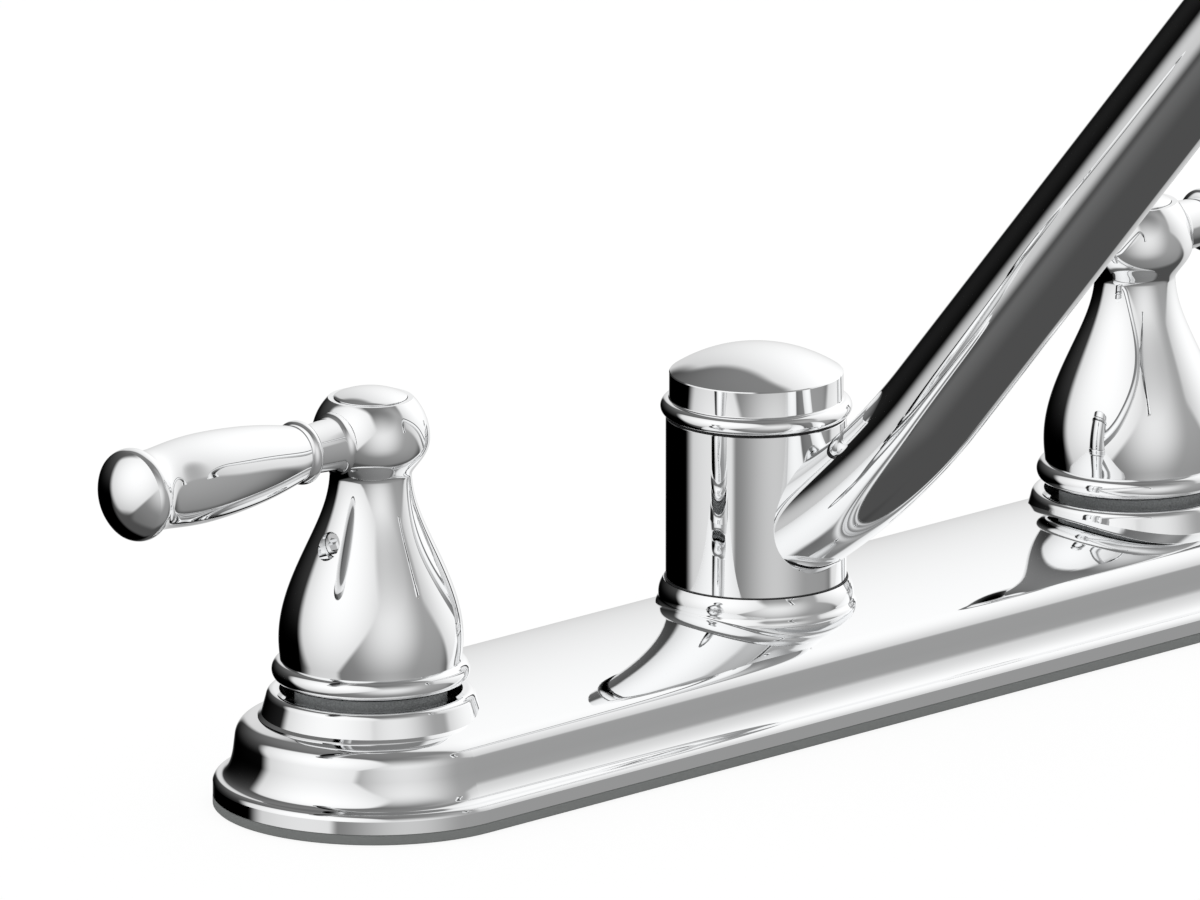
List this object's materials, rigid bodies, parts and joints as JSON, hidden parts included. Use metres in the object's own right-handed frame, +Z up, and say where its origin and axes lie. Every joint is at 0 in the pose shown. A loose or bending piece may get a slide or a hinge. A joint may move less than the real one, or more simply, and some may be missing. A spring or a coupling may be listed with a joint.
{
  "type": "kitchen faucet",
  "caption": "Deck-mounted kitchen faucet with lever handles on flared bells, a long round-ended deck plate and an arched tubular swivel spout.",
  "frame": {"origin": "the spout's axis where it meets the sink deck, on the underside of the deck gasket", "axes": "+X along the deck plate towards the cold handle, at the user's right; -Y towards the user, where the spout points; +Z up"},
  "size_m": [0.3364, 0.2527, 0.2317],
  "materials": {
    "polished_chrome": "mirror polished chrome plate",
    "grey_gasket": "matt moulded grey",
    "dark_nut": "matt, fine grain",
    "brass": "machined brass, turning marks",
    "cartridge_brass": "fine turned brass",
    "copper": "drawn copper tube, dull",
    "black_plastic": "moulded, satin",
    "white_plastic": "moulded acetal, satin",
    "seal_rubber": "matt",
    "ceramic": "lapped alumina",
    "stainless": "brushed stainless"
  },
  "bodies": {
    "base": {"deck_gasket": "grey_gasket", "deck_plate": "polished_chrome", "spout_post": "brass", "spout_o_rings": "seal_rubber", "lower_glide_ring": "white_plastic", "upper_glide_ring": "white_plastic", "spout_cap": "polished_chrome", "hot_valve_body": "brass", "hot_crossover_tube": "copper", "hot_mount_washer": "black_plastic", "hot_lock_nut": "black_plastic", "hot_cartridge_housing": "cartridge_brass", "hot_housing_o_ring": "seal_rubber", "hot_seat_seal": "seal_rubber", "hot_fixed_disc": "ceramic", "hot_hub_nut": "dark_nut", "hot_bonnet_nut": "brass", "cold_valve_body": "brass", "cold_crossover_tube": "copper", "cold_mount_washer": "black_plastic", "cold_lock_nut": "black_plastic", "cold_cartridge_housing": "cartridge_brass", "cold_housing_o_ring": "seal_rubber", "cold_seat_seal": "seal_rubber", "cold_fixed_disc": "ceramic", "cold_hub_nut": "dark_nut", "cold_bonnet_nut": "brass"},
    "hot_handle": {"hot_moving_disc": "ceramic", "hot_stem": "cartridge_brass", "hot_stem_o_ring": "seal_rubber", "hot_stop_washer": "stainless", "hot_snap_ring": "stainless", "hot_handle_body": "polished_chrome", "hot_lever": "polished_chrome", "hot_handle_screw": "stainless", "hot_index_button": "polished_chrome"},
    "cold_handle": {"cold_moving_disc": "ceramic", "cold_stem": "cartridge_brass", "cold_stem_o_ring": "seal_rubber", "cold_stop_washer": "stainless", "cold_snap_ring": "stainless", "cold_handle_body": "polished_chrome", "cold_lever": "polished_chrome", "cold_handle_screw": "stainless", "cold_index_button": "polished_chrome"},
    "spout": {"spout_hub": "polished_chrome", "spout_tube": "polished_chrome", "aerator_housing": "polished_chrome", "aerator_washer": "seal_rubber", "aerator_insert": "white_plastic"}
  },
  "joints": [
    {"name": "hot_handle_turn", "type": "hinge", "parent": "base", "child": "hot_handle", "pos_m": [-0.1016, 0, 0], "axis": [0, 0, 1], "range_deg": [0, 90]},
    {"name": "cold_handle_turn", "type": "hinge", "parent": "base", "child": "cold_handle", "pos_m": [0.1016, 0, 0], "axis": [0, 0, 1], "range_deg": [-90, 0]},
    {"name": "spout_swivel", "type": "hinge", "parent": "base", "child": "spout", "pos_m": [0, 0, 0], "axis": [0, 0, 1], "continuous": true}
  ]
}
